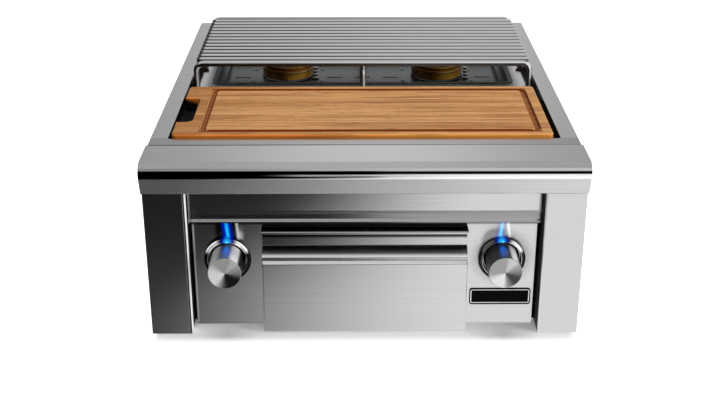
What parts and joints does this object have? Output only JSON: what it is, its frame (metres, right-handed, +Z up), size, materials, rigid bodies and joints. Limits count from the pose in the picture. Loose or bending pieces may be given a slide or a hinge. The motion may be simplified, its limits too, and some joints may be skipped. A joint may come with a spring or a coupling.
{
  "type": "double side burner",
  "caption": "Drop-in stainless gas side burner: brass burners under a lift-off rod grate, a bamboo board in the front of the well, lit push-and-turn knobs and a pull-out drip tray.",
  "frame": {"origin": "centre of the footprint box on the floor", "axes": "+X to the right seen from the front, +Y to the rear, +Z up"},
  "size_m": [0.61, 0.7326, 0.293],
  "materials": {
    "brushed_sheet": "fine horizontal brushing",
    "well_sheet": "dull brushed",
    "casing_sheet": "mill finish",
    "rod_steel": "polished rod",
    "knob_steel": "spun face",
    "bezel_chrome": "mirror",
    "lamp_lens": "clear blue, lit",
    "plate_black": "gloss black",
    "burner_brass": "satin",
    "base_casting": "cast",
    "fitting_brass": "machined",
    "pipe_steel": "drawn",
    "screw_black": "black oxide",
    "sleeve_steel": "heat darkened",
    "ceramic_white": "unglazed",
    "bamboo": "oiled",
    "module_plastic": "moulded"
  },
  "bodies": {
    "casing": {"base_pan": "casing_sheet", "burner_brackets": "casing_sheet", "burner_pan": "well_sheet", "control_panel": "brushed_sheet", "cord_gland": "module_plastic", "deck_screws": "screw_black", "fascia_strip": "brushed_sheet", "front_bullnose": "brushed_sheet", "gas_inlet_pipe": "pipe_steel", "gas_manifold": "pipe_steel", "inlet_locknut": "fitting_brass", "left_bezel": "bezel_chrome", "left_burner_base": "base_casting", "left_burner_head": "burner_brass", "left_burner_ring": "casing_sheet", "left_gas_tube": "pipe_steel", "left_igniter": "ceramic_white", "left_igniter_shield": "sleeve_steel", "left_lamp": "lamp_lens", "left_orifice": "fitting_brass", "left_post": "brushed_sheet", "left_side_panel": "casing_sheet", "left_tray_rail": "casing_sheet", "left_valve_body": "fitting_brass", "name_plate": "plate_black", "pan_screws": "screw_black", "plate_border": "bezel_chrome", "power_module": "module_plastic", "rear_panel": "casing_sheet", "right_bezel": "bezel_chrome", "right_burner_base": "base_casting", "right_burner_head": "burner_brass", "right_burner_ring": "casing_sheet", "right_gas_tube": "pipe_steel", "right_igniter": "ceramic_white", "right_igniter_shield": "sleeve_steel", "right_lamp": "lamp_lens", "right_orifice": "fitting_brass", "right_post": "brushed_sheet", "right_side_panel": "casing_sheet", "right_tray_rail": "casing_sheet", "right_valve_body": "fitting_brass", "top_frame": "brushed_sheet", "well_deck": "well_sheet"},
    "drawer": {"drawer_front": "brushed_sheet", "drawer_pull": "brushed_sheet", "drip_tray": "casing_sheet"},
    "board": {"cutting_board": "bamboo"},
    "grate": {"grate_rods": "rod_steel", "grate_front_rod": "rod_steel", "grate_rear_rod": "rod_steel", "grate_bars": "rod_steel"},
    "left_cap": {"left_burner_cap": "burner_brass"},
    "left_push": {"left_stem_collar": "fitting_brass"},
    "left_control": {"left_knob": "knob_steel", "left_valve_stem": "pipe_steel"},
    "right_cap": {"right_burner_cap": "burner_brass"},
    "right_push": {"right_stem_collar": "fitting_brass"},
    "right_control": {"right_knob": "knob_steel", "right_valve_stem": "pipe_steel"}
  },
  "joints": [
    {"name": "drawer_slide", "type": "slide", "parent": "casing", "child": "drawer", "axis": [0, -1, 0], "range_m": [0, 0.42]},
    {"name": "board_lift", "type": "slide", "parent": "casing", "child": "board", "axis": [0, 0, 1], "range_m": [0, 0.15]},
    {"name": "grate_lift", "type": "slide", "parent": "casing", "child": "grate", "axis": [0, 0, 1], "range_m": [0, 0.15]},
    {"name": "left_cap_lift", "type": "slide", "parent": "casing", "child": "left_cap", "axis": [0, 0, 1], "range_m": [0, 0.018]},
    {"name": "left_knob_push", "type": "slide", "parent": "casing", "child": "left_push", "axis": [0, 1, 0], "range_m": [0, 0.004], "stiffness_N_per_m": 900},
    {"name": "left_knob_turn", "type": "hinge", "parent": "left_push", "child": "left_control", "pos_m": [-0.194, -0.31725, 0.106], "axis": [0, -1, 0], "range_deg": [0, 240]},
    {"name": "right_cap_lift", "type": "slide", "parent": "casing", "child": "right_cap", "axis": [0, 0, 1], "range_m": [0, 0.018]},
    {"name": "right_knob_push", "type": "slide", "parent": "casing", "child": "right_push", "axis": [0, 1, 0], "range_m": [0, 0.004], "stiffness_N_per_m": 900},
    {"name": "right_knob_turn", "type": "hinge", "parent": "right_push", "child": "right_control", "pos_m": [0.194, -0.31725, 0.106], "axis": [0, -1, 0], "range_deg": [0, 240]}
  ]
}
